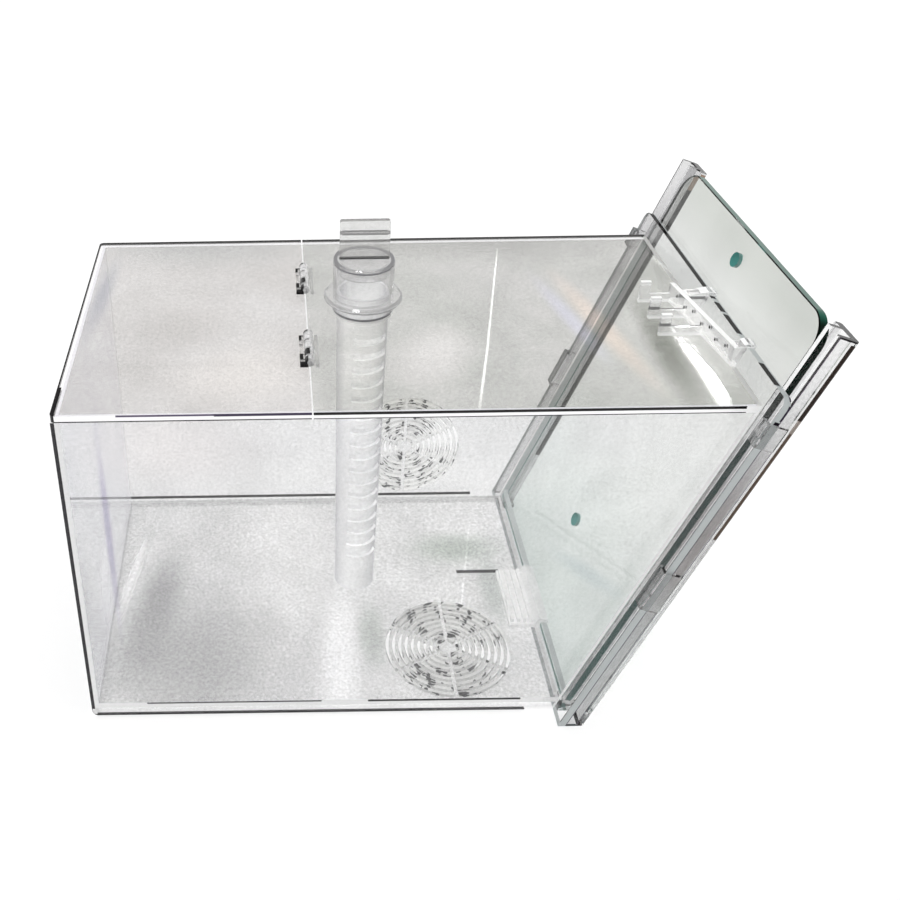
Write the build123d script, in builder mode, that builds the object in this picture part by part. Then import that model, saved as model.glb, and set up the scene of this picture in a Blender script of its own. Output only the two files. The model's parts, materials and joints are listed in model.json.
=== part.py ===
from build123d import *
import os
from math import cos, radians, sin, tan

# Aquarium fish trap: a clear box whose open end leans outwards and is shut by a sliding glass door.
# Lengths in millimetres. +X points from the closed end to the door, +Z up, -Y to the front wall.
# The origin is under the middle of the whole trap, on the surface that it stands on.

# Box
box_depth = 150.0  # outside, front wall to rear wall
box_height = 165.0  # outside, from the skirt to the top of the top panel
floor_length = 209.0  # outside, along the lower edge of the front wall
door_tilt = 19.6  # lean of the open end, degrees from upright
wall = 3.0  # all panels
floor_lift = 3.0  # the walls reach this far below the floor panel
skirt_radius = 2.7  # lower corner at the closed end

# Round grilles: rings of cut slots, broken by spokes
grille_radius = 29.5
grille_rings = 9
grille_pitch = 3.0
grille_slot = 1.5
grille_spokes = 6
grille_spoke_width = 1.8
rear_grille_x = 155.5  # from the closed end
rear_grille_z = 40.5
floor_grille_x = 165.5  # from the closed end
floor_grille_from_front = 34.5

# Lid and its two hinges
lid_length = 99.2  # from the closed end to the seam
seam_gap = 0.6
lid_corner = 2.0
hinge_length = 23.0
hinge_front_from_front = 43.5  # middle of each hinge
hinge_rear_from_front = 105.0
knuckle_count = 5  # on each hinge, shared by the lid and the top panel
knuckle_radius = 2.0
knuckle_gap = 0.4
knuckle_lift = 0.3  # air between a knuckle and the panel that it turns over
leaf_width = 3.9  # from the pin's axis
leaf_thick = 1.4
pin_radius = 1.0
pin_clearance = 0.05
pin_proud = 0.6
pin_chamfer = 0.25

# Frame on the leaning end
frame_thick = 3.0
frame_side = 9.7  # beyond the walls
frame_rise = 9.2  # beyond the top panel, along the slope
frame_corner = 4.0
sill_height = 10.0  # lower bar, along the slope
window_corner = 2.0

# Door glass
glass_lap = 2.0  # over the frame on each side of the doorway
glass_length = 208.0
glass_thick = 4.0
glass_corner = 11.0
glass_foot_corner = 3.0
glass_arris = 0.4
glass_hole_radius = 3.25
lift_hole_below_top = 12.2
hold_hole_above_foot = 47.8
glass_seat = 5.5  # foot of the shut glass, along the slope
glass_gap = 0.4  # glass to frame and glass to the rail's web
lip_gap = 0.5  # glass to the rail's lip

# Rails beside the door
rail_top = 213.7  # upper end, along the slope
rail_web = 2.2
rail_lip_thick = 3.0
rail_lip_over = 3.7  # over the edge of the glass
rail_edge_radius = 1.2
hook_thick = 1.6
hook_reach = 4.0  # behind the frame
lower_hook_at = 76.5
lower_hook_length = 20.5
upper_hook_at = 163.0
upper_hook_length = 10.5
stop_width = 7.0  # ledge under each lower corner of the glass

# Clips between the box and the frame
clip_width = 38.0
clip_plate = 2.0
clip_reach = 14.0  # along the panel, from the frame
clip_lip = 1.8
clip_rib_width = 1.4
clip_rib_height = 2.4
clip_ribs = 4
floor_clip_from_front = 65.0  # middle
top_clip_from_front = 28.0  # front end
top_clip_length = 55.0
top_clip_spread = 8.0  # its rear end stands this far off the frame
top_clip_foot = 1.6
top_hook_width = 5.0
top_hook_before_end = 7.0  # rear hook to the clip's rear end
fin_count = 3
fin_thick = 1.6
fin_pitch = 14.5
fin_length = 13.0
fin_post_width = 4.3  # upright finger at the fin's free end
fin_post_height = 10.0
fin_web_height = 4.0

# Feeding tube
tube_x = 124.0  # from the closed end
tube_from_front = 81.0
tube_radius_top = 11.4
tube_radius_foot = 9.9
tube_wall = 1.4
tube_clear_floor = 1.0
tube_guide_clearance = 0.4
guide_wall = 1.4
guide_rise = 4.6  # above the top panel
guide_glue_gap = 0.1
foot_thick = 2.4
foot_spigot = 3.0
foot_bevel = 1.2
slot_count = 17
slot_pitch = 7.5
slot_height = 3.4
slot_width = 15.5
slot_depth_from_axis = 5.0
slot_turn = 20.0  # the slots face the front, turned towards the door by this many degrees
first_slot_below_top = 13.5  # middle of the slot, below the top panel's upper side

# Socket, collar ring and plug at the head of the tube
socket_radius = 13.2
socket_height = 22.5
socket_wall = 1.5
socket_overlap = 4.5  # length of tube inside the socket
collar_radius = 17.0
collar_height = 2.8
collar_bevel = 0.9
plug_flange = 1.5
plug_skirt = 4.5
plug_wall = 1.4
plug_clearance = 0.3
plug_rim_bevel = 0.4
tab_width = 21.3
tab_height = 17.6
tab_thick = 2.6
tab_corner = 1.0
tab_grip_height = 12.0
tab_grip_radius = 0.7

# Worked out from the sizes above
tilt = radians(door_tilt)
rail_front = frame_thick + glass_gap + glass_thick + lip_gap + rail_lip_thick
overall_length = floor_length + rail_top * sin(tilt) + rail_front * cos(tilt)
end_x = -overall_length / 2
door_foot_x = end_x + floor_length
front_y = -box_depth / 2
inner_half = box_depth / 2 - wall
ceiling = box_height - wall
floor_top = floor_lift + wall
skirt_round = min(skirt_radius, 0.9 * wall)
seam_x = end_x + lid_length
frame_top = box_height / cos(tilt) + frame_rise
frame_half = box_depth / 2 + frame_side
window_top = ceiling / cos(tilt)
glass_width = 2 * (inner_half + glass_lap)
tube_y = front_y + tube_from_front
tube_axis_x = end_x + tube_x
guide_bore = tube_radius_top + tube_guide_clearance
guide_radius = guide_bore + guide_wall
guide_top = box_height + guide_rise


def door_x(height):
    return door_foot_x + height * tan(tilt)


def side_plane(y, x=0, z=0):
    # Upright plane along the box: its own axes are X and Z, and it faces the front
    return Plane(origin=(x, y, z), x_dir=(1, 0, 0), z_dir=(0, -1, 0))


def door_plane(out):
    # Plane of the leaning end, moved outwards: its own axes are Y and the way up the slope
    origin = (door_foot_x + out * cos(tilt), 0, -out * sin(tilt))
    return Plane(origin=origin, x_dir=(0, 1, 0), z_dir=(cos(tilt), 0, -sin(tilt)))


def slope_section(up):
    # Plane square to the slope: its own axes are the way to the front and the way out of the door
    origin = (door_foot_x + up * sin(tilt), 0, up * cos(tilt))
    return Plane(origin=origin, x_dir=(0, -1, 0), z_dir=(sin(tilt), 0, cos(tilt)))


def tube_plane(z):
    return Plane(origin=(tube_axis_x, tube_y, z))


def side_wall(outer_side):
    # Front or rear wall: a trapezium with one rounded corner, extruded towards the front
    with BuildPart() as panel:
        with BuildSketch(side_plane(outer_side)) as outline:
            Polygon(
                (end_x, 0),
                (door_foot_x, 0),
                (door_x(ceiling), ceiling),
                (end_x, ceiling),
                align=None,
            )
            fillet(outline.vertices().group_by(Axis.Y)[0].sort_by(Axis.X)[0], skirt_round)
        extrude(amount=wall)
    return panel


def draw_grille():
    # Rings from the outside in, then the spokes that hold them together
    for ring in range(grille_rings):
        outer = grille_radius - ring * grille_pitch
        Circle(outer)
        Circle(outer - grille_slot, mode=Mode.SUBTRACT)
    with PolarLocations(0, grille_spokes // 2, angular_range=180, start_angle=90):
        Rectangle(2 * grille_radius + 1, grille_spoke_width, mode=Mode.SUBTRACT)


def save(piece, name):
    piece.part.label = name
    export_step(piece.part, f"parts/{name}.step")


os.makedirs("parts", exist_ok=True)

# Front wall
front_wall = side_wall(front_y + wall)
save(front_wall, "front_wall")

# Rear wall with its round grille
with BuildPart() as rear_wall:
    add(side_wall(box_depth / 2).part)
    with BuildSketch(side_plane(box_depth / 2, end_x + rear_grille_x, rear_grille_z)):
        draw_grille()
    extrude(amount=wall, mode=Mode.SUBTRACT)
save(rear_wall, "rear_wall")

# Closed end, let in between the two walls
with BuildPart() as end_wall:
    with BuildSketch(side_plane(0)):
        Polygon((end_x, 0), (end_x + wall, 0), (end_x + wall, ceiling), (end_x, ceiling), align=None)
    extrude(amount=inner_half, both=True)
    fillet(end_wall.edges().filter_by(Axis.Y).group_by(Axis.Z)[0].sort_by(Axis.X)[0], skirt_round)
save(end_wall, "end_wall")

# Floor, raised on the walls so that water passes under it, with its round grille
with BuildPart() as floor_panel:
    with BuildSketch(side_plane(0)):
        Polygon(
            (end_x + wall, floor_lift),
            (door_x(floor_lift), floor_lift),
            (door_x(floor_top), floor_top),
            (end_x + wall, floor_top),
            align=None,
        )
    extrude(amount=inner_half, both=True)
    grille_centre = (end_x + floor_grille_x, front_y + floor_grille_from_front, floor_top)
    with BuildSketch(Plane(origin=grille_centre)):
        draw_grille()
    extrude(amount=-wall, mode=Mode.SUBTRACT)
save(floor_panel, "floor_panel")

# Top panel, fixed, with the hole for the tube's guide
with BuildPart() as top_panel:
    with BuildSketch(side_plane(0)):
        Polygon(
            (seam_x + seam_gap / 2, ceiling),
            (door_x(ceiling), ceiling),
            (door_x(box_height), box_height),
            (seam_x + seam_gap / 2, box_height),
            align=None,
        )
    extrude(amount=box_depth / 2, both=True)
    with BuildSketch(tube_plane(box_height)):
        Circle(guide_radius + guide_glue_gap)
    extrude(amount=-wall, mode=Mode.SUBTRACT)
save(top_panel, "top_panel")

# Guide glued into the top panel: the feeding tube slides in it and hangs on its rim
with BuildPart() as tube_guide:
    with BuildSketch(tube_plane(ceiling)):
        Circle(guide_radius)
        Circle(guide_bore, mode=Mode.SUBTRACT)
    extrude(amount=guide_top - ceiling)
save(tube_guide, "tube_guide")

# Lid, from the seam to the closed end
with BuildPart() as lid_panel:
    with BuildSketch(Plane.XY.offset(ceiling)):
        Polygon(
            (end_x, front_y),
            (seam_x - seam_gap / 2, front_y),
            (seam_x - seam_gap / 2, -front_y),
            (end_x, -front_y),
            align=None,
        )
    extrude(amount=wall)
    fillet(lid_panel.edges().filter_by(Axis.Z).group_by(Axis.X)[0], lid_corner)
save(lid_panel, "lid_panel")

# Hinges: knuckles on the lid and on the top panel take turns along one pin
pin_axis_z = box_height + knuckle_lift + knuckle_radius
knuckle_length = (hinge_length - knuckle_gap * (knuckle_count - 1)) / knuckle_count
knuckle_pitch = knuckle_length + knuckle_gap


def draw_knuckle(side):
    # One knuckle seen along the pin, with the leaf that stands on its own panel
    with Locations((seam_x, pin_axis_z)):
        Circle(knuckle_radius)
    leaf_end = seam_x + side * leaf_width
    leaf_start = seam_x + side * seam_gap / 2
    with Locations(((leaf_start + leaf_end) / 2, box_height + leaf_thick / 2)):
        Rectangle(leaf_width - seam_gap / 2, leaf_thick)


def draw_leaf(side):
    # The strip that joins the knuckles of one side, clear of the other side's knuckles
    inner = seam_x + side * (knuckle_radius + knuckle_gap)
    outer = seam_x + side * leaf_width
    with Locations(((inner + outer) / 2, box_height + leaf_thick / 2)):
        Rectangle(abs(outer - inner), leaf_thick)


def hinge_half(middle_y, side, first):
    start_y = middle_y + hinge_length / 2
    with BuildPart() as half:
        for index in range(first, knuckle_count, 2):
            with BuildSketch(side_plane(start_y - index * knuckle_pitch)):
                draw_knuckle(side)
            extrude(amount=knuckle_length)
        with BuildSketch(side_plane(start_y)):
            draw_leaf(side)
        extrude(amount=hinge_length)
        with BuildSketch(side_plane(start_y)):
            with Locations((seam_x, pin_axis_z)):
                Circle(pin_radius + pin_clearance)
        extrude(amount=hinge_length, mode=Mode.SUBTRACT)
    return half


def hinge_pin(middle_y):
    with BuildPart() as pin:
        with BuildSketch(side_plane(middle_y)):
            with Locations((seam_x, pin_axis_z)):
                Circle(pin_radius)
        extrude(amount=hinge_length / 2 + pin_proud, both=True)
        chamfer(pin.edges().filter_by(GeomType.CIRCLE), pin_chamfer)
    return pin


for place, from_front in (("front", hinge_front_from_front), ("rear", hinge_rear_from_front)):
    middle_y = front_y + from_front
    save(hinge_half(middle_y, -1, 0), f"lid_knuckles_{place}")
    save(hinge_half(middle_y, 1, 1), f"panel_knuckles_{place}")
    save(hinge_pin(middle_y), f"hinge_pin_{place}")

# Frame glued across the leaning end, with the doorway in it
with BuildPart() as end_frame:
    with BuildSketch(door_plane(0)) as frame_outline:
        Polygon(
            (-frame_half, -frame_thick),
            (frame_half, -frame_thick),
            (frame_half, frame_top),
            (-frame_half, frame_top),
            align=None,
        )
        fillet(frame_outline.vertices().group_by(Axis.Y)[-1], frame_corner)
        with BuildSketch(mode=Mode.SUBTRACT) as window:
            Polygon(
                (-inner_half, sill_height),
                (inner_half, sill_height),
                (inner_half, window_top),
                (-inner_half, window_top),
                align=None,
            )
            fillet(window.vertices(), window_corner)
    extrude(amount=frame_thick)
    split(bisect_by=Plane.XY, keep=Keep.TOP)
save(end_frame, "end_frame")

# Glass door
glass_out = frame_thick + glass_gap
with BuildPart() as door_glass:
    with BuildSketch(door_plane(glass_out)) as pane:
        with Locations((0, glass_seat + glass_length / 2)):
            Rectangle(glass_width, glass_length)
        fillet(pane.vertices().group_by(Axis.Y)[-1], glass_corner)
        fillet(pane.vertices().group_by(Axis.Y)[0], glass_foot_corner)
    extrude(amount=glass_thick)
    faces_across = door_glass.faces().sort_by(lambda face: face.area)[-2:]
    chamfer(faces_across.edges(), glass_arris)
    with BuildSketch(door_plane(glass_out)):
        lift_hole = glass_seat + glass_length - lift_hole_below_top
        with Locations((0, lift_hole), (0, glass_seat + hold_hole_above_foot)):
            Circle(glass_hole_radius)
    extrude(amount=glass_thick, mode=Mode.SUBTRACT)
save(door_glass, "door_glass")

# Rails: an extruded channel on the frame's face, whose lip holds the glass
lip_under = rail_front - rail_lip_thick
web_inner = glass_width / 2 + glass_gap
lip_inner = glass_width / 2 - rail_lip_over
with BuildPart() as front_rail:
    with BuildSketch(slope_section(-frame_thick)) as rail_outline:
        Polygon(
            (frame_half, frame_thick),
            (frame_half, rail_front),
            (lip_inner, rail_front),
            (lip_inner, lip_under),
            (web_inner, lip_under),
            (web_inner, frame_thick),
            (web_inner + rail_web, frame_thick),
            (web_inner + rail_web, lip_under),
            (frame_half - rail_web, lip_under),
            (frame_half - rail_web, frame_thick),
            align=None,
        )
        fillet(rail_outline.vertices().group_by(Axis.Y)[-1], rail_edge_radius)
    extrude(amount=rail_top + frame_thick)
    # Ledge that the glass stands on
    with BuildSketch(slope_section(-frame_thick)):
        Polygon(
            (web_inner, frame_thick),
            (web_inner, rail_front),
            (web_inner - stop_width, rail_front),
            (web_inner - stop_width, frame_thick),
            align=None,
        )
    extrude(amount=glass_seat + frame_thick)
    # Hooks that grip the back of the frame
    for hook_at, hook_length in ((lower_hook_at, lower_hook_length), (upper_hook_at, upper_hook_length)):
        with BuildSketch(slope_section(hook_at)):
            Polygon(
                (frame_half, lip_under),
                (frame_half + hook_thick, lip_under - hook_thick),
                (frame_half + hook_thick, -hook_thick),
                (frame_half - hook_reach, -hook_thick),
                (frame_half - hook_reach, 0),
                (frame_half, 0),
                align=None,
            )
        extrude(amount=hook_length)
    split(bisect_by=Plane.XY, keep=Keep.TOP)
save(front_rail, "front_rail")

with BuildPart() as rear_rail:
    mirror(front_rail.part, about=Plane.XZ)
save(rear_rail, "rear_rail")

# Clip on the floor: a ribbed plate whose end bends over the frame's lower bar
with BuildPart() as floor_clip:
    foot_x = door_x(floor_top)
    sill_back = (door_foot_x + sill_height * sin(tilt), sill_height * cos(tilt))
    sill_front = (sill_back[0] + frame_thick * cos(tilt), sill_back[1] - frame_thick * sin(tilt))
    lip_rise = (clip_lip * sin(tilt), clip_lip * cos(tilt))
    with BuildSketch(side_plane(front_y + floor_clip_from_front)):
        Polygon(
            (foot_x - clip_reach, floor_top),
            (foot_x, floor_top),
            sill_back,
            sill_front,
            (sill_front[0] + lip_rise[0], sill_front[1] + lip_rise[1]),
            (sill_back[0] + lip_rise[0] - clip_lip * cos(tilt), sill_back[1] + lip_rise[1] + clip_lip * sin(tilt)),
            (foot_x - clip_plate, floor_top + clip_plate),
            (foot_x - clip_reach, floor_top + clip_plate),
            align=None,
        )
    extrude(amount=clip_width / 2, both=True)
    rib_step = (clip_reach - clip_plate) / clip_ribs
    with BuildSketch(side_plane(front_y + floor_clip_from_front)):
        for rib in range(clip_ribs):
            with Locations((foot_x - clip_reach + rib_step * (rib + 0.5), floor_top + clip_plate + clip_rib_height / 2)):
                Rectangle(clip_rib_width, clip_rib_height)
    extrude(amount=clip_width / 2 - clip_rib_width, both=True)
save(floor_clip, "floor_clip")

# Clip on the top panel: an upright plate that leaves the frame at an angle, two hooks over the
# frame's upper edge, and fingers behind the plate's rear half
with BuildPart() as top_clip:
    frame_back_x = door_x(box_height)
    clip_front_y = front_y + top_clip_from_front
    clip_rear_y = clip_front_y + top_clip_length
    edge_back = (door_foot_x + frame_top * sin(tilt), frame_top * cos(tilt))
    edge_front = (edge_back[0] + frame_thick * cos(tilt), edge_back[1] - frame_thick * sin(tilt))
    plate_top = edge_back[1]
    with BuildSketch(Plane.XY.offset(box_height)):
        Polygon(
            (frame_back_x - clip_plate, clip_front_y),
            (frame_back_x, clip_front_y),
            (frame_back_x - top_clip_spread, clip_rear_y),
            (frame_back_x - top_clip_spread - clip_plate, clip_rear_y),
            align=None,
        )
    extrude(amount=plate_top - box_height)
    # Foot between the plate and the frame
    with BuildSketch(Plane.XY.offset(box_height)):
        Polygon(
            (frame_back_x - clip_plate, clip_front_y),
            (frame_back_x, clip_front_y),
            (frame_back_x, clip_rear_y),
            (frame_back_x - top_clip_spread - clip_plate, clip_rear_y),
            align=None,
        )
    extrude(amount=top_clip_foot)
    # One hook at the front end and one near the rear end
    for hook_end in (top_hook_width, top_clip_length - top_hook_before_end):
        plate_off = top_clip_spread * hook_end / top_clip_length
        with BuildSketch(side_plane(clip_front_y + hook_end)):
            Polygon(
                (frame_back_x - plate_off - clip_plate / 2, box_height),
                (frame_back_x, box_height),
                edge_back,
                edge_front,
                (edge_front[0] + lip_rise[0], edge_front[1] + lip_rise[1]),
                (edge_back[0] + lip_rise[0], edge_back[1] + lip_rise[1]),
                (frame_back_x - plate_off - clip_plate / 2, plate_top),
                align=None,
            )
        extrude(amount=top_hook_width)
    # Fins square to the frame, each with an upright finger at its free end
    fin_free_x = frame_back_x - top_clip_spread - clip_plate - fin_length
    for fin in range(fin_count):
        fin_rear_y = clip_rear_y - fin * fin_pitch
        plate_back_x = frame_back_x - clip_plate / 2 - top_clip_spread * (fin_rear_y - clip_front_y) / top_clip_length
        with BuildSketch(side_plane(fin_rear_y)):
            Polygon(
                (fin_free_x, box_height),
                (plate_back_x, box_height),
                (plate_back_x, box_height + fin_web_height),
                (fin_free_x + fin_post_width, box_height + fin_web_height),
                (fin_free_x + fin_post_width, box_height + fin_post_height),
                (fin_free_x, box_height + fin_post_height),
                align=None,
            )
        extrude(amount=fin_thick)
save(top_clip, "top_clip")

# Feeding tube: tapered, slotted on the side that faces the fish
tube_foot_z = floor_top + tube_clear_floor
tube_end_z = tube_foot_z + foot_thick
tube_head_z = guide_top + socket_overlap
with BuildPart() as feeding_tube:
    with BuildSketch(side_plane(tube_y, tube_axis_x)):
        Polygon(
            (tube_radius_foot - tube_wall, tube_end_z),
            (tube_radius_foot, tube_end_z),
            (tube_radius_top, ceiling),
            (tube_radius_top, tube_head_z),
            (tube_radius_top - tube_wall, tube_head_z),
            (tube_radius_top - tube_wall, ceiling),
            align=None,
        )
    revolve(axis=Axis((tube_axis_x, tube_y, 0), (0, 0, 1)))
    turned = Plane(
        origin=(tube_axis_x, tube_y, 0),
        x_dir=(cos(radians(slot_turn)), sin(radians(slot_turn)), 0),
        z_dir=(sin(radians(slot_turn)), -cos(radians(slot_turn)), 0),
    )
    with BuildSketch(turned.offset(slot_depth_from_axis)):
        for slot in range(slot_count):
            with Locations((0, box_height - first_slot_below_top - slot * slot_pitch)):
                Rectangle(slot_width, slot_height)
    extrude(amount=tube_radius_top, mode=Mode.SUBTRACT)
save(feeding_tube, "feeding_tube")

# Foot that closes the tube
with BuildPart() as tube_foot:
    with BuildSketch(tube_plane(tube_foot_z)):
        Circle(tube_radius_foot)
    extrude(amount=foot_thick)
    chamfer(tube_foot.edges().group_by(Axis.Z)[0], foot_bevel)
    with BuildSketch(tube_plane(tube_end_z)):
        Circle(tube_radius_foot - tube_wall)
    extrude(amount=foot_spigot)
save(tube_foot, "tube_foot")

# Socket on the head of the tube: it rests on the guide's rim and takes the plug
socket_top = box_height + socket_height
with BuildPart() as tube_socket:
    with BuildSketch(side_plane(tube_y, tube_axis_x)):
        Polygon(
            (tube_radius_top, guide_top),
            (socket_radius, guide_top),
            (socket_radius, socket_top),
            (socket_radius - socket_wall, socket_top),
            (socket_radius - socket_wall, tube_head_z),
            (tube_radius_top, tube_head_z),
            align=None,
        )
    revolve(axis=Axis((tube_axis_x, tube_y, 0), (0, 0, 1)))
save(tube_socket, "tube_socket")

# Collar ring round the socket
with BuildPart() as tube_collar:
    with BuildSketch(side_plane(tube_y, tube_axis_x)) as collar_section:
        Polygon(
            (socket_radius, guide_top),
            (collar_radius, guide_top),
            (collar_radius, guide_top + collar_height),
            (socket_radius, guide_top + collar_height),
            align=None,
        )
        chamfer(collar_section.vertices().group_by(Axis.X)[-1], collar_bevel)
    revolve(axis=Axis((tube_axis_x, tube_y, 0), (0, 0, 1)))
save(tube_collar, "tube_collar")

# Plug: a flanged cup pushed into the socket
plug_radius = socket_radius - socket_wall - plug_clearance
plug_top = socket_top + plug_flange
with BuildPart() as tube_plug:
    with BuildSketch(side_plane(tube_y, tube_axis_x)):
        Polygon(
            (0, plug_top),
            (0, socket_top - plug_flange),
            (plug_radius - plug_wall, socket_top - plug_flange),
            (plug_radius - plug_wall, socket_top - plug_skirt),
            (plug_radius, socket_top - plug_skirt),
            (plug_radius, socket_top),
            (socket_radius, socket_top),
            (socket_radius, plug_top),
            align=None,
        )
    revolve(axis=Axis((tube_axis_x, tube_y, 0), (0, 0, 1)))
    chamfer(tube_plug.edges().group_by(Axis.Z)[-1], plug_rim_bevel)
save(tube_plug, "tube_plug")

# Flat tab to pull the plug by, with a grip bead on each face
with BuildPart() as plug_tab:
    with BuildSketch(side_plane(tube_y)) as tab_face:
        with Locations((tube_axis_x, plug_top + tab_height / 2)):
            Rectangle(tab_width, tab_height)
        fillet(tab_face.vertices().group_by(Axis.Y)[-1], tab_corner)
    extrude(amount=tab_thick / 2, both=True)
    grip_plane = Plane.YZ.offset(tube_axis_x)
    with BuildSketch(grip_plane):
        with Locations(
            (tube_y - tab_thick / 2, plug_top + tab_grip_height),
            (tube_y + tab_thick / 2, plug_top + tab_grip_height),
        ):
            Circle(tab_grip_radius)
    extrude(amount=tab_width / 2 - tab_corner, both=True)
save(plug_tab, "plug_tab")
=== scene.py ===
import json
import math

import bpy
from mathutils import Matrix, Vector


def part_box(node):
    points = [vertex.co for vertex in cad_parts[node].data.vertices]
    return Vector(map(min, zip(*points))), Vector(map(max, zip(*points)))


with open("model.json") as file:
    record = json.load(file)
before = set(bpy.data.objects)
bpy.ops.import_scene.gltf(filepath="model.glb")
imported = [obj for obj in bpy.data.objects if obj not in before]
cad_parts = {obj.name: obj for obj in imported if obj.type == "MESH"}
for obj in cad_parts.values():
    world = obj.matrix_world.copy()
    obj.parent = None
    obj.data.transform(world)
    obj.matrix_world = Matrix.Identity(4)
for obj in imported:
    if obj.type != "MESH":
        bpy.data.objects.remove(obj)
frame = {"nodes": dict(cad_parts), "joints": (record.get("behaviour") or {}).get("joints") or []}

# Aquarium fish trap in clear acrylic with a float glass door, on a white table.
# Metres, in the frame of the solids: +X to the door, -Y to the front wall, +Z up.
scene = bpy.context.scene
nodes = frame["nodes"]
mm = 0.001
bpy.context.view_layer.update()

# The box corner and the lean of the door end, which marks on the surfaces are measured from
wallLow, wallHigh = (Vector(corner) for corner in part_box("front_wall"))
doorSlide = next(j for j in frame["joints"] if j["name"] == "door_slide")
upDoor = Vector(doorSlide["axis"]).normalized()
outDoor = Vector((upDoor.z, 0, -upDoor.x))
lean = math.asin(upDoor.x)
doorFoot = wallHigh.x - wallHigh.z * math.tan(lean)
alongX = Vector((1, 0, 0))
alongY = Vector((0, 1, 0))
alongZ = Vector((0, 0, 1))


def corners(name):
    # A piece's low and high corner in mm, from the closed end, the front wall's face and the table's top
    return [[round((v - start) / mm, 1) for v, start in zip(corner, (wallLow.x, wallLow.y, 0))]
            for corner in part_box(name)]


sheet = corners("front_wall")[1][1]  # thickness of every sheet
depth = corners("rear_wall")[1][1]
rearInner = corners("rear_wall")[0][1]  # the rear wall's inner face
floorTop = corners("floor_panel")[1][2]
under, roof = (corner[2] for corner in corners("lid_panel"))  # the two faces of the lid and the top
frameSide = corners("end_frame")[0][1]  # the frame is wider than the box
seam = 99.0  # between the lid and the top
topEnd = 268.0  # just past the top's leaning end


# Camera, set where the photograph was taken from
cameraSet = {
    "place": (-59.98, -412.61, 397.46),  # mm
    "yaw": -0.25,  # degrees, right of +Y
    "pitch": 31.6,  # degrees below the horizon
    "roll": -1.0,
    "focal": 43.64,  # mm
    "sensor": 36.0,  # mm
    "shiftX": 0.1984,
    "shiftY": -0.1032,
    "nearest": 0.01,  # m
}


def addCamera(s):
    yaw, pitch, roll = (math.radians(s[k]) for k in ("yaw", "pitch", "roll"))
    ahead = Vector((math.sin(yaw) * math.cos(pitch), math.cos(yaw) * math.cos(pitch), -math.sin(pitch)))
    level = Vector((math.cos(yaw), -math.sin(yaw), 0))
    upright = level.cross(ahead)
    right = level * math.cos(roll) + upright * math.sin(roll)
    up = right.cross(ahead)
    data = bpy.data.cameras.new("studioCamera")
    data.sensor_width = s["sensor"]
    data.lens = s["focal"]
    data.shift_x = s["shiftX"]
    data.shift_y = s["shiftY"]
    data.clip_start = s["nearest"]
    camera = bpy.data.objects.new("studioCamera", data)
    scene.collection.objects.link(camera)
    turn = Matrix((right, up, -ahead)).transposed().to_4x4()
    camera.matrix_world = Matrix.Translation(Vector(s["place"]) * mm) @ turn
    scene.camera = camera


addCamera(cameraSet)
print("camera is up")


def linear(code):
    # sRGB hex to linear light
    parts = [int(code[i:i + 2], 16) / 255 for i in (1, 3, 5)]
    return tuple(p / 12.92 if p <= 0.04045 else ((p + 0.055) / 1.055) ** 2.4 for p in parts) + (1.0,)


def addNode(tree, kind, settings=None, links=None, values=None):
    # One shader node: its settings, what feeds its sockets, and its socket values
    node = tree.nodes.new(kind)
    for key, value in (settings or {}).items():
        setattr(node, key, value)
    for key, value in (values or {}).items():
        node.inputs[key].default_value = value
    for key, source in (links or {}).items():
        tree.links.new(source, node.inputs[key])
    return node


def newMaterial(name):
    material = bpy.data.materials.new(name)
    material.use_nodes = True
    tree = material.node_tree
    tree.nodes.clear()
    return material, tree


def fillRamp(ramp, stops):
    ramp.elements[0].position, ramp.elements[0].color = stops[0]
    ramp.elements[1].position, ramp.elements[1].color = stops[-1]
    for place, colour in stops[1:-1]:
        ramp.elements.new(place).color = colour


def boxPoint(tree):
    # Place on the surface, from the closed end, the front wall's face and the table
    where = addNode(tree, "ShaderNodeTexCoord")
    moved = addNode(tree, "ShaderNodeMapping", links={"Vector": where.outputs["Object"]},
                    values={"Location": (-wallLow.x, -wallLow.y, 0)})
    return moved.outputs[0]


def doorPoint(tree):
    # Place on the surface, out of the door, from the front wall's face and up the slope
    where = addNode(tree, "ShaderNodeTexCoord")
    foot = (-doorFoot * math.cos(lean), -wallLow.y, -doorFoot * math.sin(lean))
    turned = addNode(tree, "ShaderNodeMapping", links={"Vector": where.outputs["Object"]},
                     values={"Rotation": (0, -lean, 0), "Location": foot})
    return turned.outputs[0]


def insideBox(tree, point, low, high):
    # 1 inside a box given in mm, 0 outside it
    centre = [(a + b) / 2 * mm for a, b in zip(low, high)]
    half = [(b - a) / 2 * mm for a, b in zip(low, high)]
    moved = addNode(tree, "ShaderNodeVectorMath", {"operation": "SUBTRACT"}, {0: point}, {1: centre})
    folded = addNode(tree, "ShaderNodeVectorMath", {"operation": "ABSOLUTE"}, {0: moved.outputs[0]})
    beyond = addNode(tree, "ShaderNodeVectorMath", {"operation": "SUBTRACT"}, {0: folded.outputs[0]},
                     {1: half})
    parts = addNode(tree, "ShaderNodeSeparateXYZ", links={0: beyond.outputs[0]})
    level = addNode(tree, "ShaderNodeMath", {"operation": "MAXIMUM"},
                    {0: parts.outputs[0], 1: parts.outputs[1]})
    worst = addNode(tree, "ShaderNodeMath", {"operation": "MAXIMUM"},
                    {0: level.outputs[0], 1: parts.outputs[2]})
    inside = addNode(tree, "ShaderNodeMath", {"operation": "LESS_THAN"}, {0: worst.outputs[0]}, {1: 0.0})
    return inside.outputs[0]


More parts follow.
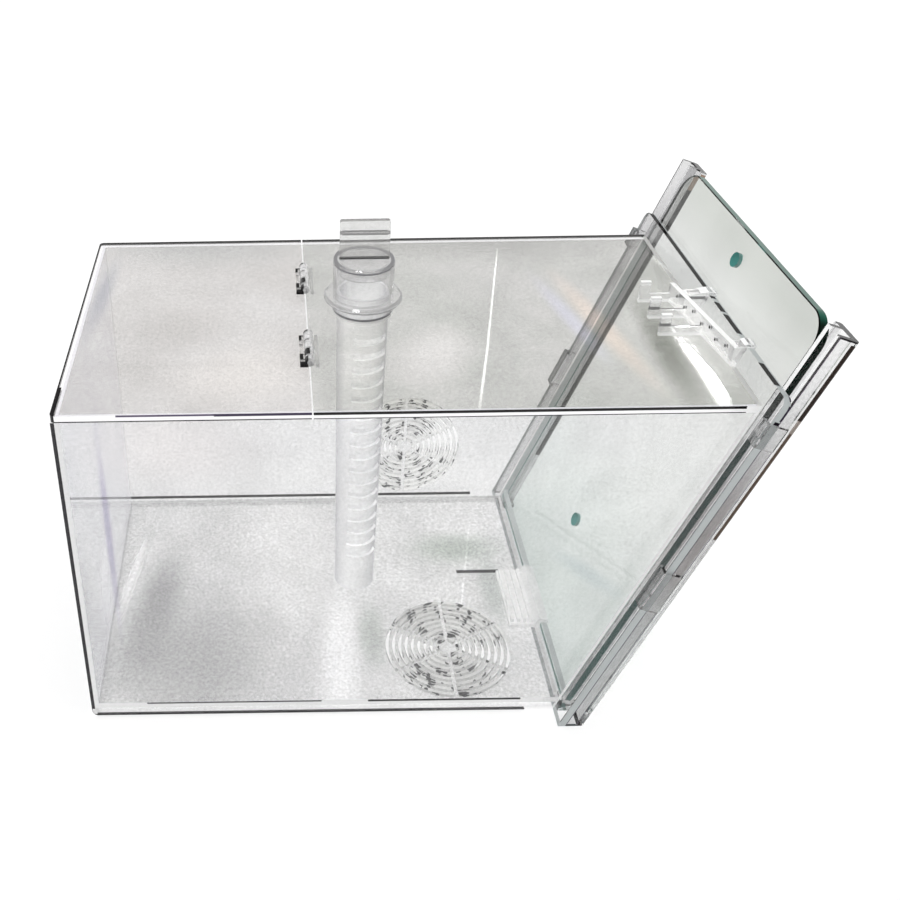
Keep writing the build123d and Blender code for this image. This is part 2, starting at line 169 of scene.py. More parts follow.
def softSpot(tree, point, centre, reach, turn, axis):
    # 1 in the middle of a soft patch, 0 past its reach; mm, and degrees about one axis
    moved = addNode(tree, "ShaderNodeVectorMath", {"operation": "SUBTRACT"}, {0: point},
                    {1: [v * mm for v in centre]})
    turned = addNode(tree, "ShaderNodeVectorRotate", {"rotation_type": axis}, {"Vector": moved.outputs[0]},
                     {"Angle": math.radians(-turn)})
    scaled = addNode(tree, "ShaderNodeVectorMath", {"operation": "DIVIDE"}, {0: turned.outputs[0]},
                     {1: [v * mm for v in reach]})
    away = addNode(tree, "ShaderNodeVectorMath", {"operation": "LENGTH"}, {0: scaled.outputs[0]})
    fall = addNode(tree, "ShaderNodeMapRange", {"interpolation_type": "SMOOTHSTEP"},
                   {"Value": away.outputs["Value"]},
                   {"From Min": 0.1, "From Max": 1.0, "To Min": 1.0, "To Max": 0.0})
    return fall.outputs[0]


def edgeMask(tree, across):
    # 1 on the sawn edges of a sheet, 0 on its two faces
    where = addNode(tree, "ShaderNodeTexCoord")
    facing = addNode(tree, "ShaderNodeVectorMath", {"operation": "DOT_PRODUCT"},
                     {0: where.outputs["Normal"]}, {1: across})
    flat = addNode(tree, "ShaderNodeMath", {"operation": "ABSOLUTE"}, {0: facing.outputs["Value"]})
    sawn = addNode(tree, "ShaderNodeMath", {"operation": "LESS_THAN"}, {0: flat.outputs[0]}, {1: 0.5})
    return sawn.outputs[0]


def rimShadeMask(tree):
    # 1 where a round wall turns away from the eye, 0 where it faces it
    weight = addNode(tree, "ShaderNodeLayerWeight", values={"Blend": 0.5})
    turned = addNode(tree, "ShaderNodeMapRange", links={"Value": weight.outputs["Facing"]},
                     values={"From Min": 0.3, "From Max": 0.85})
    return turned.outputs[0]


def paint(tree, mask, colour, clear, code, share):
    # Where the mask is 1 the surface takes a colour and loses a share of its clearness
    mixed = addNode(tree, "ShaderNodeMix", {"data_type": "RGBA"}, {"Factor": mask, 6: colour},
                    {7: linear(code)})
    lost = addNode(tree, "ShaderNodeMath", {"operation": "MULTIPLY_ADD"}, {0: mask}, {1: -share, 2: 1.0})
    left = addNode(tree, "ShaderNodeMath", {"operation": "MULTIPLY"}, {0: clear, 1: lost.outputs[0]})
    return mixed.outputs[2], left.outputs[0]


def mottled(tree, place, colour, size, detail, strength):
    # Small changes of brightness: fine scratches or wide clouds, by their size in mm
    noise = addNode(tree, "ShaderNodeTexNoise", links={"Vector": place},
                    values={"Scale": 1 / (size * mm), "Detail": detail})
    level = addNode(tree, "ShaderNodeMapRange", links={"Value": noise.outputs["Fac"]},
                    values={"From Min": 0.3, "From Max": 0.7,
                            "To Min": 1 - strength, "To Max": 1 + strength})
    scaled = addNode(tree, "ShaderNodeVectorMath", {"operation": "SCALE"},
                     {0: colour, "Scale": level.outputs[0]})
    return scaled.outputs[0]


def frostSlots(tree, place, colour, clear, grille, across):
    # The cut slots of a round grille: frosted walls with dark specks
    away = addNode(tree, "ShaderNodeVectorMath", {"operation": "DISTANCE"}, {0: place},
                   {1: [v * mm for v in grille["centre"]]})
    near = addNode(tree, "ShaderNodeMath", {"operation": "LESS_THAN"}, {0: away.outputs["Value"]},
                   {1: grille["radius"] * mm})
    slots = addNode(tree, "ShaderNodeMath", {"operation": "MULTIPLY"},
                    {0: near.outputs[0], 1: edgeMask(tree, across)})
    colour, clear = paint(tree, slots.outputs[0], colour, clear, grille["frost"], grille["frostShare"])
    grit = addNode(tree, "ShaderNodeTexNoise", links={"Vector": place},
                   values={"Scale": 1 / (grille["gritSize"] * mm), "Detail": 1.0})
    dark = addNode(tree, "ShaderNodeMath", {"operation": "GREATER_THAN"}, {0: grit.outputs["Fac"]},
                   {1: grille["gritLevel"]})
    specks = addNode(tree, "ShaderNodeMath", {"operation": "MULTIPLY"},
                     {0: slots.outputs[0], 1: dark.outputs[0]})
    return paint(tree, specks.outputs[0], colour, clear, grille["grit"], grille["gritShare"])


def finishClear(tree, colour, clear, look):
    # Clear plastic or glass that lets lamp light past, so that it throws a pale shadow.
    # Where it is milky it glows: painted light standing in for the light that runs inside the sheet.
    milky = addNode(tree, "ShaderNodeMath", {"operation": "SUBTRACT"}, {1: clear}, {0: 1.0})
    paintedGlow = addNode(tree, "ShaderNodeVectorMath", {"operation": "SCALE"},
                  {0: colour, "Scale": milky.outputs[0]})
    body = addNode(tree, "ShaderNodeBsdfPrincipled",
                   links={"Base Color": colour, "Transmission Weight": clear,
                          "Emission Color": paintedGlow.outputs[0]},
                   values={"IOR": look["ior"], "Roughness": look["roughness"],
                           "Specular IOR Level": look["gloss"], "Specular Tint": linear(look["glint"]),
                           "Emission Strength": look["glow"]})
    path = addNode(tree, "ShaderNodeLightPath")
    passing = addNode(tree, "ShaderNodeBsdfTransparent", values={"Color": linear(look["passed"])})
    mixed = addNode(tree, "ShaderNodeMixShader",
                    links={0: path.outputs["Is Shadow Ray"], 1: body.outputs[0], 2: passing.outputs[0]})
    addNode(tree, "ShaderNodeOutputMaterial", links={"Surface": mixed.outputs[0]})


# Polymethyl methacrylate in all its forms: hard, colourless and glossy
acrylic = {
    "tint": "#F6F6F6",
    "cloud": "#ECECED",
    "cloudSize": 60.0,  # mm across one soft patch of wipe marks
    "cloudStops": (0.35, 0.68),  # of the noise, where tint and cloud are full
    "grain": 0.06,  # how much the fine scratches darken it here and there
    "grainSize": 1.4,  # mm, coarser than real scratches so that they show
    "edge": "#FFFFFF",  # sawn and glued edges are milky
    "edgeShare": 1.0,
    "clear": 1.0,
    "ior": 1.49,
    "roughness": 0.015,
    "gloss": 0.3,
    "glint": "#FFFFFF",  # how much of a mirror image its faces give
    "glow": 0.07,  # painted light: the glow of a wholly milky place
    "passed": "#FCFCFC",  # what a lamp's light keeps at each surface
}


def clearAcrylic(name, look, point=boxPoint, across=None, spots=(), marks=(), grille=None):
    # Clouds first, then soft spots of painted light and shade, scratches, painted rim shade, sawn edges,
    # grille and marks, each over the last
    material, tree = newMaterial(name)
    place = point(tree)
    clouds = addNode(tree, "ShaderNodeTexNoise", links={"Vector": place},
                     values={"Scale": 1 / (look["cloudSize"] * mm), "Detail": 3.0, "Roughness": 0.55})
    ramp = addNode(tree, "ShaderNodeValToRGB", links={"Fac": clouds.outputs["Fac"]})
    fillRamp(ramp.color_ramp, list(zip(look["cloudStops"], (linear(look["tint"]), linear(look["cloud"])))))
    colour = ramp.outputs[0]
    clear = addNode(tree, "ShaderNodeMath", {"operation": "ADD"},
                    values={0: look["clear"], 1: 0.0}).outputs[0]
    # Soft spots paint light and shade onto the sheet
    for centre, reach, turn, code, share in spots:
        patch = softSpot(tree, place, centre, reach, turn, "Z_AXIS")
        colour, clear = paint(tree, patch, colour, clear, code, share)
    colour = mottled(tree, place, colour, look["grainSize"], 1.0, look["grain"])
    # Painted shade where a round wall turns away from the eye
    if "rim" in look:
        colour, clear = paint(tree, rimShadeMask(tree), colour, clear, look["rim"], 0.0)
    if across:
        colour, clear = paint(tree, edgeMask(tree, across), colour, clear, look["edge"], look["edgeShare"])
    if grille:
        colour, clear = frostSlots(tree, place, colour, clear, grille, across)
    for low, high, code, share in marks:
        colour, clear = paint(tree, insideBox(tree, place, low, high), colour, clear, code, share)
    finishClear(tree, colour, clear, look)
    return material


def dress(material, *names):
    for name in names:
        slots = nodes[name].data.materials
        slots.clear()
        slots.append(material)


# Marks are painted boxes in mm: a span, or the place of the surface, along each direction, then
# colour and share of the clearness that they take. Spots are soft: centre, reach, turn, colour, share.
skin = 0.1  # how far a mark reaches past its surface
deep = 30  # reach of a spot through a level sheet


def mark(x, y, z, code, share):
    spans = [v if isinstance(v, tuple) else (v - skin, v + skin) for v in (x, y, z)]
    low, high = zip(*spans)
    return low, high, code, share


# A glued joint is a pale strip on both pieces, with thin dark lines where it holds air
glue = "#FFFFFF"
paleGlue = "#E4E4E8"
cornerGlue = [
    mark((-1, sheet + skin), sheet, (sheet, under - skin), glue, 1.0),
    mark(0, (-skin, sheet + skin), (2.5, under - skin), "#34303A", 0.95),
    mark((-1, 1.1), sheet, (2.5, under - skin), "#2E2A36", 0.95),
]
floorGlue = [
    mark((sheet - skin, 204), sheet, (sheet, floorTop + skin), glue, 1.0),
    mark((25, 104), sheet, (5.3, floorTop + skin), "#3A3638", 0.95),
    mark((125, 194), sheet, (4.9, floorTop + skin), "#161416", 0.97),
]
roofGlue = [
    mark((-1, sheet + skin), (-1, depth + 1), under, paleGlue, 1.0),
    mark((-1, 1.6), (-1, depth + 1), under, glue, 1.0),
    mark((-1, topEnd), (-1, sheet + skin), under, paleGlue, 1.0),
    mark((-1, topEnd), (-1, 1.6), under, glue, 1.0),
    mark((-1, topEnd), (rearInner - skin, depth + 1), under, "#F0F0F2", 1.0),
]

# Cast acrylic walls, glued at the corners
wallMarks = cornerGlue + floorGlue + [
    mark((2, 196), (-skin, sheet + skin), 0, "#3A3A3C", 0.95),  # lower edge painted dark as shade where it stands on the table, and the next two
    mark((0.4, 150), 0, (-skin, 0.9), "#2C2C2E", 0.95),
    mark((150, 196), 0, (-skin, 0.7), "#4A4A4C", 0.85),
]
# A thin line of painted shade and a patch of painted light on the front wall
wallLightAndShade = [
    ((17, 0, 110), (2.2, 10, 80), 0, "#CFCBDD", 0.0),
    ((45, 0, 150), (50, 10, 30), 0, "#F2EFEF", 0.0),
]
dress(clearAcrylic("castAcrylicFrontWall", acrylic, across=alongY, spots=wallLightAndShade, marks=wallMarks),
      "front_wall")

# Round grilles: the walls of their cut slots are frosted, and specks of grit sit on them
roundGrille = {
    "radius": 31.0,  # mm, just past the outer ring of slots
    "frostShare": 0.2,
    "grit": "#4A4A4C",
    "gritShare": 0.7,
    "gritSize": 4.0,  # mm
    "gritLevel": 0.6,  # of the noise, above which there is a speck
}

rearLook = dict(acrylic, tint="#F2F2F2", cloud="#E6E6E6")
rearMarks = [
    mark((-1, sheet + skin), rearInner, (sheet, under), glue, 1.0),
    mark((sheet - skin, 204), rearInner, (sheet, floorTop + skin), glue, 1.0),
    mark((2, 194), rearInner, (7.4, 9.2), "#161416", 0.98),  # dark line over the floor
    mark(0, (148, depth + skin), (0, 161), "#8C8A8E", 0.6),
]
rearGrille = dict(roundGrille, centre=(155.5, 148.5, 40.5), frost="#F2F2F1")
dress(clearAcrylic("castAcrylicRearWall", rearLook, across=alongY, marks=rearMarks, grille=rearGrille),
      "rear_wall")
endLook = dict(acrylic, tint="#EDEDF0", cloud="#E0E0E5", cloudSize=40.0)
dress(clearAcrylic("castAcrylicEndWall", endLook, across=alongX, marks=cornerGlue), "end_wall")

# Cast acrylic lid and top: polished faces with soft wipe marks and soft spots of painted shade and light,
# rear and front edges painted dark for the dark reflections that these edges show
roofSpan = (under - skin, roof + skin)
roofMiddle = (under + roof) / 2
lidMarks = roofGlue + [
    mark((-1, seam), (149.1, depth + skin), roofSpan, "#121012", 0.97),  # rear edge
    mark((-skin, 0.6), (2, depth), roofSpan, "#141216", 0.97),  # edge at the closed end
    mark((-skin, 1.7), (-skin, 20), roofSpan, "#0A080C", 0.98),  # front corner
    mark((25, seam), 0, (164.2, roof + skin), "#5B5168", 0.85),  # front edge, and the next two
    mark((62, seam), 0, (163.9, roof + skin), "#3A3148", 0.85),
    mark((0, seam), 0, (under - skin, 162.5), "#161218", 0.95),
]
# Painted shade at the rear, along the closed end and in the middle, painted light towards the front
lidLightAndShade = [
    ((50, 156, roofMiddle), (80, 46, deep), 0, "#D3D3D2", 0.0),
    ((8, 96, roofMiddle), (6, 52, deep), -4, "#D6D6DA", 0.0),
    ((72, 28, roofMiddle), (40, 30, deep), 10, "#FBF7F4", 0.0),
    ((44, 66, roofMiddle), (30, 26, deep), 0, "#E4E1DF", 0.0),
]
lidLook = dict(acrylic, tint="#F3F1F0", cloud="#E9E6E4", cloudSize=45.0)
dress(clearAcrylic("castAcrylicLid", lidLook, across=alongZ, spots=lidLightAndShade, marks=lidMarks), "lid_panel")

topMarks = roofGlue + [
    mark((seam, topEnd), (149.1, depth + skin), roofSpan, "#121012", 0.97),  # rear edge
    mark((seam, 262), 0, (163.8, roof + skin), "#121012", 0.98),  # front edge, and the next one
    mark((seam, 262), 0, (under - skin, 162.4), "#1E1A20", 0.95),
]
# Painted shade at the rear and in a dark band beside the bright patch; painted light in a warm streak, a
# bluish streak and a patch further left
topLightAndShade = [
    ((185, 156, roofMiddle), (115, 44, deep), 0, "#CBCBC8", 0.0),
    ((224, 62, roofMiddle), (8, 66, deep), 11, "#FAEEE4", 0.0),
    ((212, 70, roofMiddle), (6, 50, deep), 11, "#EAEAF4", 0.0),
    ((245.5, 45, roofMiddle), (11, 64, deep), -2.3, "#A3A59E", 0.0),
    ((150, 40, roofMiddle), (22, 40, deep), -30, "#F4F2F0", 0.0),
]
topLook = dict(acrylic, tint="#E8E7E5", cloud="#D6D7D3", cloudSize=45.0)
dress(clearAcrylic("castAcrylicTop", topLook, across=alongZ, spots=topLightAndShade, marks=topMarks), "top_panel")

# Cast acrylic floor: finely scratched, so it looks grainy; tinted grey as painted shadow, with painted
# shadow patches that make it darker towards the closed end
floorMiddle = floorTop - sheet / 2
floorMarks = floorGlue + [mark((177.3, 199.6), (84.5, 86.8), floorTop, "#2A282A", 0.95)]
# Painted shadow patches, a strip of painted light under the tube and a painted highlight at the closed end
floorLightAndShade = [
    ((42, 30, floorMiddle), (62, 62, deep), 35, "#C4C4C4", 0.0),
    ((24, 66, floorMiddle), (16, 60, deep), -8, "#BABABA", 0.0),
    ((113, 28, floorMiddle), (15, 62, deep), -4, "#F4F4F4", 0.0),
    ((179, 105, floorMiddle), (34, 17, deep), 0, "#BFC4BF", 0.0),
    ((130, 44, floorMiddle), (10, 30, deep), 0, "#C4C7C4", 0.0),
    ((194, 74, floorMiddle), (10, 34, deep), 0, "#C6C9C7", 0.0),
    ((10, 84, floorMiddle), (4, 50, deep), -8, "#FFFFFF", 0.7),
]
# Its grey tint is painted shadow, for the table's shadow seen through the floor
floorLook = dict(acrylic, tint="#E4E4E4", cloud="#D6D6D6", cloudSize=34.0, grain=0.16)
floorGrille = dict(roundGrille, centre=(165.5, 34.5, floorMiddle), frost="#F6F6F5")
dress(clearAcrylic("castAcrylicFloor", floorLook, across=alongZ, spots=floorLightAndShade, marks=floorMarks,
                   grille=floorGrille), "floor_panel")

# Cast acrylic frame: its upper edge is painted black, with breaks at the clip's hooks.
# On the frame, the rails and the glass a mark's spans run out of the door, across it and up its slope.
frameTop = 184.4  # mm up the slope
blackSpans = ((76.5, 157), (68.5, 71), (57, 65.5), (39, 55), (30.5, 34), (1, 17))
frameMarks = [mark((-skin, 2.3), span, (frameTop - 0.3, frameTop + 0.3), "#0A080A", 1.0)
              for span in blackSpans]
# The front upper corner
frameMarks += [
    mark((2.4, sheet + skin), (frameSide - skin, -9.2), (frameTop - 9, frameTop), "#2A2532", 0.9),
    mark((2.4, sheet + skin), (frameSide - skin, -5.5), (frameTop - 0.8, frameTop + 0.3), "#2A2532", 0.9),
    mark((1, sheet + skin), (frameSide - skin, -9.2), (frameTop - 11, frameTop - 9.5), "#120E16", 0.97),
]
frameLook = dict(acrylic, glint="#404040", gloss=0.1, edge="#B4B9B9", edgeShare=0.9)
dress(clearAcrylic("castAcrylicFrame", frameLook, doorPoint, across=outDoor, marks=frameMarks), "end_frame")
print("sheets are clear")

# Extruded acrylic rails: drawn lines along them, soft spots of painted shade and light, and nearly black or
# brown, painted as dark reflection, where one looks along a wall
railFace = 10.9  # out of the door
railTop = 213.0  # just under the upper end
frontSide = (frameSide - skin, -9.5)  # outer wall of the front rail
lipEdge = (145.1, 145.5)  # inner edge of the rear rail's lip
railLook = dict(acrylic, tint="#DCDCDC", cloud="#CDCDCE", cloudSize=25.0, glint="#101010")
# Painted light near the top of the front rail, painted shade lower down and on the rear rail
railLightAndShade = [
    ((7, -4, 208), (30, 14, 60), 0, "#F4F4F4", 0.0),
    ((7, -4, 115), (30, 14, 60), 0, "#BDBABA", 0.0),
    ((5, 152, 140), (30, 16, 80), 0, "#A9A7A9", 0.0),
]
railMarks = [
    # Front rail: hooks at the frame's side, outer wall from the top down, end, drawn lines
    mark((-skin, sheet), (frameSide - 0.05, frameSide + 0.05), (76, 174), glue, 1.0),
    mark((8.4, 11), frontSide, (178, 212), "#2B231E", 0.94),
    mark((8.6, 11), frontSide, (172, 178), "#8A8078", 0.7),
    mark((8.8, 11), frontSide, (118, 172), "#4F4238", 0.92),
    mark((10.2, 11), frontSide, (0, 118), "#8E8680", 0.7),
    mark((sheet, 11), (frameSide - skin, -7.4), (railTop, railTop + 0.8), "#1E1C1E", 0.95),
    mark((2.9, 3.3), frontSide, (0, 214), "#4A4450", 0.8),
    mark((7.4, 7.7), frontSide, (0, 170), "#6A6470", 0.7),
    mark((9.0, 9.2), frontSide, (0, 118), "#8A868E", 0.6),
    # Rear rail: the lip's edge, the line at the frame, drawn lines on its face, end
    mark((7.8, 11), lipEdge, (40, 204), "#14100E", 0.98),
    mark((7.8, 11), lipEdge, (204, railTop), "#9A8272", 0.8),
    mark((3, 3.4), (159.5, 159.8), (0, 214), "#5A575E", 0.8),
    mark(railFace, (145.2, 145.9), (0, railTop), "#14100E", 0.95),
    mark(railFace, (148.6, 149.0), (0, railTop), "#6E6A6E", 0.8),
    mark(railFace, (153.0, 153.5), (0, railTop), "#8C888C", 0.7),
    mark(railFace, (159.2, 159.8), (0, railTop), "#4A464C", 0.85),
    mark((7, 11), (148, 160), (railTop, railTop + 0.8), "#1E1C1E", 0.9),
]
dress(clearAcrylic("extrudedAcrylicRails", railLook, doorPoint, spots=railLightAndShade, marks=railMarks),
      "front_rail", "rear_rail")

# Injection moulded acrylic clips: white bands painted as highlights where sharp edges catch light, a painted
# glow, and small dark dots
clipLook = dict(acrylic, tint="#FFFFFF", cloud="#F4F4F4", cloudSize=8.0, clear=0.8, roughness=0.05,
                glow=0.13)
clipAlong = (225, 285)
clipAcross = (20, 90)
# White bands painted as highlights on the clip's edges, then small dark dots
clipHighlightsAndDots = [
    mark(clipAlong, clipAcross, (roof - skin, 166.0), "#FFFFFF", 0.6),
    mark(clipAlong, clipAcross, (173.3, 174.0), "#FFFFFF", 0.6),
    mark(clipAlong, clipAcross, (174.7, 175.2), "#FFFFFF", 0.8),
]
clipDarkDots = ((34, 170), (41.5, 168.4), (47, 171), (53.5, 169), (61, 170.6), (68, 168.8), (75, 170.2))
for start, height in clipDarkDots:
    clipHighlightsAndDots.append(mark(clipAlong, (start, start + 1.1), (height, height + 1.4), "#2A2A2C", 0.95))
dress(clearAcrylic("mouldedAcrylicTopClip", clipLook, marks=clipHighlightsAndDots), "top_clip")
# The floor clip is milkier, with a painted glow too
floorClipLook = dict(clipLook, clear=0.5, roughness=0.08, glow=0.1)
dress(clearAcrylic("mouldedAcrylicFloorClip", floorClipLook), "floor_clip")

# Injection moulded acrylic hinges: clear, with black marks painted as dark reflections where the knuckles
# trap air
darkReflectionGaps = ((-7.6, -3.2, 99.4), (-11.5, -9.2, 98.6), (7.6, 11.4, 96.4), (10.6, 11.4, 99.0),
           (3.7, 4.2, 99.4))
hingeMarks = []
for pin in ("hinge_pin_front", "hinge_pin_rear"):
    low, high = corners(pin)
    middle = (low[1] + high[1]) / 2
    for start, end, right in darkReflectionGaps:
        span = (middle + start, middle + end)
        hingeMarks.append(mark((95.2, right), span, (roof - skin, 170), "#0C0B0C", 0.98))
hingeLook = dict(acrylic, tint="#F8F8F8", cloud="#F0F0F0", cloudSize=5.0, clear=0.8, roughness=0.06)
dress(clearAcrylic("mouldedAcrylicHinges", hingeLook, marks=hingeMarks),
      "lid_knuckles_front", "lid_knuckles_rear", "panel_knuckles_front", "panel_knuckles_rear",
      "hinge_pin_front", "hinge_pin_rear")

# Extruded tube, milky from its drawing, with a painted glow and painted shade at the rim; turned fittings
# that are clearer
tubeLook = dict(acrylic, tint="#FBFBFB", cloud="#F2F2F2", cloudSize=14.0, clear=0.5, roughness=0.1, glow=0.2,
                rim="#C8C8CC")
# Its middle is painted whiter and milkier, and glows as painted light
tubeLightSpots = [((124, 81, 138), (30, 30, 42), 0, "#FFFFFF", 0.8)]
dress(clearAcrylic("extrudedAcrylicTube", tubeLook, spots=tubeLightSpots), "feeding_tube", "tube_foot")
headLook = dict(acrylic, tint="#F6F6F6", cloud="#EAEAEA", cloudSize=12.0, clear=0.85, roughness=0.03)
headAlong = (100, 150)
headAcross = (60, 105)
# Grey lines painted at the socket's rim, the collar's lower arris and the guide, for their glints
headGlintLines = [
    mark(headAlong, headAcross, (187.1, 187.6), "#8E8E92", 0.6),
    mark(headAlong, headAcross, (170.4, 170.7), "#7A7A7E", 0.7),
    mark(headAlong, headAcross, (roof, 165.5), "#4E4E52", 0.8),
]
dress(clearAcrylic("turnedAcrylicHead", headLook, marks=headGlintLines),
      "tube_socket", "tube_collar", "tube_guide", "tube_plug")
tabLook = dict(acrylic, tint="#E9E9E8", cloud="#E0E0DF", cloudSize=10.0, clear=0.85, roughness=0.03)
tabAlong = (113.4, 134.6)
tabAcross = (79, 83)
# Painted shade: a grey line along the groove and a dark line at the tab's foot
tabShadeLines = [
    mark(tabAlong, tabAcross, (200.6, 201.4), "#8C8C8C", 0.6),
    mark(tabAlong, tabAcross, (188.8, 189.5), "#3C3C3E", 0.8),
]
dress(clearAcrylic("mouldedAcrylicTab", tabLook, marks=tabShadeLines), "plug_tab")
print("fittings are clear")


# Float glass: faces nearly colourless, greyer towards the foot and the top of the door and crossed by a band
# of painted shadow; ground edges deep green
glassLook = {
    "faceTone": ((0, "#D4D9D7"), (60, "#DDE1DF"), (100, "#EAEBEA"), (150, "#EAEBE9"), (190, "#D6D8D5"),
             (206, "#C8CBC6")),
    "cloud": 0.05,
    "cloudSize": 40.0,  # mm
    "shade": ((3.4, 44, 47), (30, 52, 6), -27.7),  # a band of painted shadow across the faces: centre, reach and turn
    "shadeColour": "#CBD2D3",
    "edge": ((0, "#3F726B"), (150, "#1F4A42"), (172, "#04140E"), (211, "#06180F"), (213, "#1A5545")),
    "holes": ((0, 65, 0), (12, 85, 211)),  # a box in mm that holds the walls of both
    "hole": "#4C8B85",
    "ior": 1.52,
    "roughness": 0.01,
    "gloss": 0.3,
    "glint": "#909090",
    "glow": 0.1,
    "passed": "#F4F7F5",
}


def upTheDoor(tree, place, stops):
    # A colour that changes up the slope of the door, with its stops in mm
    parts = addNode(tree, "ShaderNodeSeparateXYZ", links={0: place})
    top = stops[-1][0]
    climb = addNode(tree, "ShaderNodeMapRange", links={"Value": parts.outputs["Z"]},
                    values={"From Max": top * mm})
    ramp = addNode(tree, "ShaderNodeValToRGB", links={"Fac": climb.outputs[0]})
    fillRamp(ramp.color_ramp, [(height / top, linear(code)) for height, code in stops])
    return ramp.outputs[0]


def floatGlass(name, look):
    material, tree = newMaterial(name)
    place = doorPoint(tree)
    faceTone = mottled(tree, place, upTheDoor(tree, place, look["faceTone"]), look["cloudSize"], 2.0, look["cloud"])
    shade = softSpot(tree, place, *look["shade"], "X_AXIS")
    shaded = addNode(tree, "ShaderNodeMix", {"data_type": "RGBA"}, {"Factor": shade, 6: faceTone},
                     {7: linear(look["shadeColour"])})
    hole = insideBox(tree, place, *look["holes"])
    rim = addNode(tree, "ShaderNodeMix", {"data_type": "RGBA"},
                  {"Factor": hole, 6: upTheDoor(tree, place, look["edge"])}, {7: linear(look["hole"])})
    edge = edgeMask(tree, outDoor)
    colour = addNode(tree, "ShaderNodeMix", {"data_type": "RGBA"},
                     {"Factor": edge, 6: shaded.outputs[2], 7: rim.outputs[2]})
    clear = addNode(tree, "ShaderNodeMath", {"operation": "MULTIPLY_ADD"}, {0: edge}, {1: -1.0, 2: 1.0})
    finishClear(tree, colour.outputs[2], clear.outputs[0], look)
    return material


dress(floatGlass("floatGlass", glassLook), "door_glass")
print("door is glazed")


# Studio: a white table, a room that is dimmer overhead, a soft high sun and two bright cards over the top
studioSet = {
    "table": 8.0,  # m
    "tableDrop": 0.2,  # mm below the trap
    "tableColour": "#F0F0F0",
    "tableGlow": 0.16,
    "roomLow": "#FFFFFF",
    "roomHigh": "#9C9A98",
    "roomStops": (0.05, 0.6),  # of the way to straight up
    "roomLight": 0.72,
    "sun": 1.2,
    "sunSize": 20.0,  # degrees
    "sunFrom": (-0.25, -0.35, 1.0),
    "cardAway": 0.5,  # m
    "cardLayers": (1.1, 1.04, 0.98, 0.9, 0.8),  # each card is a stack, so its light has a soft border
    "bounces": 24,
    "clearBounces": 64,  # surfaces that a lamp's light may pass
}

# The glow of each card, and what it lights up on the top panel: mm from the closed end and the front wall
brightPatches = {
    "windowCard": (3.0, ((253.4, 66), (258.5, 66), (261.5, 41), (262.5, 24), (259.5, 12), (256.5, 3),
                         (252, 3), (252.4, 28), (251.2, 48))),
    "stripCard": (0.8, ((191.3, 130), (191.9, 130), (172.5, 43), (163.0, 3.5), (161.9, 3.5), (171.5, 43))),
}


def addTable(s):
    bpy.ops.object.select_all(action="DESELECT")
    bpy.ops.mesh.primitive_plane_add(size=s["table"], location=(0, 0, -s["tableDrop"] * mm))
    table = bpy.context.object
    table.name = "studioTable"
    material, tree = newMaterial("whiteTable")
    path = addNode(tree, "ShaderNodeLightPath")
    seen = addNode(tree, "ShaderNodeMath", {"operation": "MAXIMUM"},
                   {0: path.outputs["Is Camera Ray"], 1: path.outputs["Is Transmission Ray"]})
    glossy = addNode(tree, "ShaderNodeMath", {"operation": "MAXIMUM"},
                     {0: seen.outputs[0], 1: path.outputs["Is Glossy Ray"]})
    glow = addNode(tree, "ShaderNodeEmission", values={"Strength": s["tableGlow"]})
    none = addNode(tree, "ShaderNodeEmission", values={"Strength": 0.0})
    glowing = addNode(tree, "ShaderNodeMixShader",
                      links={0: glossy.outputs[0], 1: none.outputs[0], 2: glow.outputs[0]})
    dull = addNode(tree, "ShaderNodeBsdfDiffuse", values={"Color": linear(s["tableColour"])})
    both = addNode(tree, "ShaderNodeAddShader", links={0: dull.outputs[0], 1: glowing.outputs[0]})
    addNode(tree, "ShaderNodeOutputMaterial", links={"Surface": both.outputs[0]})
    table.data.materials.append(material)


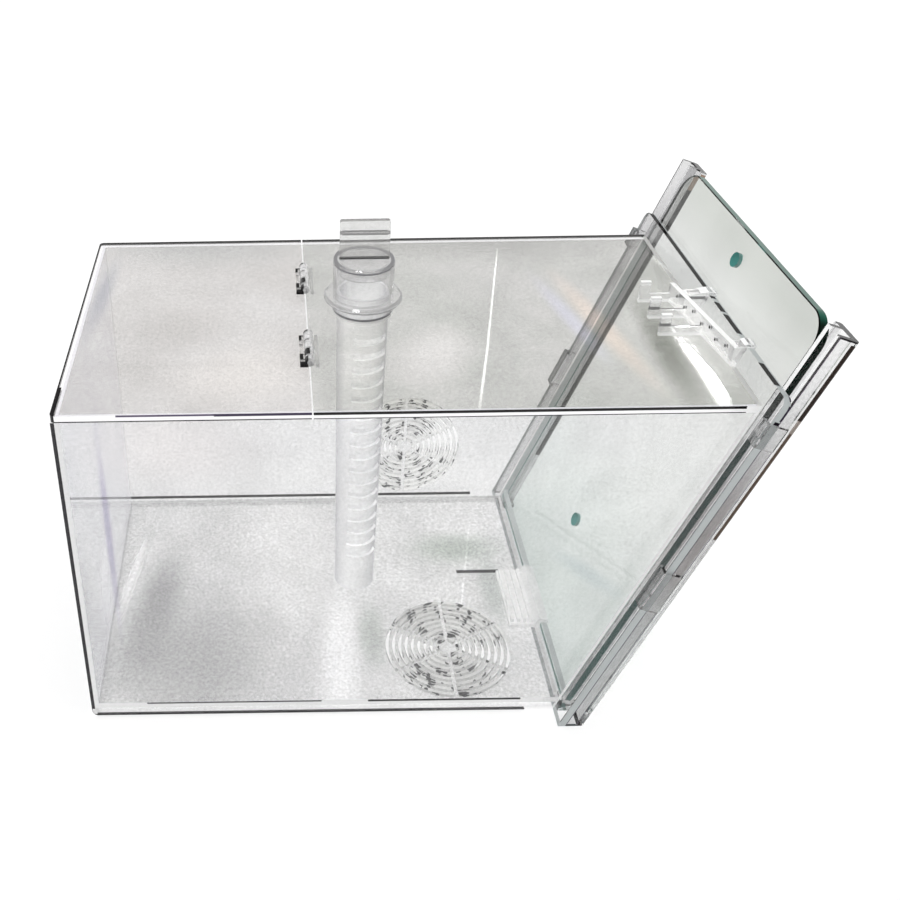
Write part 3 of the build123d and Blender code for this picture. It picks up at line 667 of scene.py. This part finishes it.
def addRoom(s):
    # The camera sees white, soft light comes evenly, and mirror images show a dimmer ceiling
    world = bpy.data.worlds.new("studioRoom")
    scene.world = world
    world.use_nodes = True
    tree = world.node_tree
    tree.nodes.clear()
    where = addNode(tree, "ShaderNodeTexCoord")
    height = addNode(tree, "ShaderNodeSeparateXYZ", links={0: where.outputs["Generated"]})
    ramp = addNode(tree, "ShaderNodeValToRGB", links={"Fac": height.outputs["Z"]})
    fillRamp(ramp.color_ramp, list(zip(s["roomStops"], (linear(s["roomLow"]), linear(s["roomHigh"])))))
    path = addNode(tree, "ShaderNodeLightPath")
    even = addNode(tree, "ShaderNodeMix", {"data_type": "RGBA"},
                   {"Factor": path.outputs["Is Diffuse Ray"], 6: ramp.outputs[0]},
                   {7: (s["roomLight"],) * 3 + (1,)})
    colour = addNode(tree, "ShaderNodeMix", {"data_type": "RGBA"},
                     {"Factor": path.outputs["Is Camera Ray"], 6: even.outputs[2]}, {7: (1, 1, 1, 1)})
    light = addNode(tree, "ShaderNodeBackground", links={"Color": colour.outputs[2]})
    addNode(tree, "ShaderNodeOutputWorld", links={"Surface": light.outputs[0]})


def addSun(s):
    lamp = bpy.data.lights.new("highSun", "SUN")
    lamp.energy = s["sun"]
    lamp.angle = math.radians(s["sunSize"])
    sun = bpy.data.objects.new("highSun", lamp)
    scene.collection.objects.link(sun)
    sun.rotation_euler = (-Vector(s["sunFrom"])).to_track_quat("-Z", "Y").to_euler()


def addCard(name, strength, patch, grow, s):
    # A card where the camera sees it mirrored in a patch of the top panel, grown about its middle
    eye = Vector(cameraSet["place"]) * mm
    outline = []
    middle = [sum(values) / len(patch) for values in zip(*patch)]
    for place in patch:
        x, y = (m + (v - m) * grow for m, v in zip(middle, place))
        spot = Vector((wallLow.x + x * mm, wallLow.y + y * mm, roof * mm))
        away = (spot - eye).normalized()
        outline.append(spot + Vector((away.x, away.y, -away.z)) * s["cardAway"])
    mesh = bpy.data.meshes.new(name)
    mesh.from_pydata(outline, [], [range(len(outline))])
    card = bpy.data.objects.new(name, mesh)
    scene.collection.objects.link(card)
    material, tree = newMaterial(name)
    glow = addNode(tree, "ShaderNodeEmission", values={"Strength": strength})
    behind = addNode(tree, "ShaderNodeBsdfTransparent")
    both = addNode(tree, "ShaderNodeAddShader", links={0: glow.outputs[0], 1: behind.outputs[0]})
    addNode(tree, "ShaderNodeOutputMaterial", links={"Surface": both.outputs[0]})
    mesh.materials.append(material)
    card.visible_camera = False
    card.visible_diffuse = False
    card.visible_shadow = False


addTable(studioSet)
addRoom(studioSet)
addSun(studioSet)
for name, (strength, patch) in brightPatches.items():
    for layer, grow in enumerate(studioSet["cardLayers"]):
        addCard(name + str(layer), strength, patch, grow, studioSet)
scene.view_settings.view_transform = "Standard"
scene.cycles.max_bounces = studioSet["bounces"]
scene.cycles.transmission_bounces = studioSet["bounces"]
scene.cycles.transparent_max_bounces = studioSet["clearBounces"]
print("studio is up")
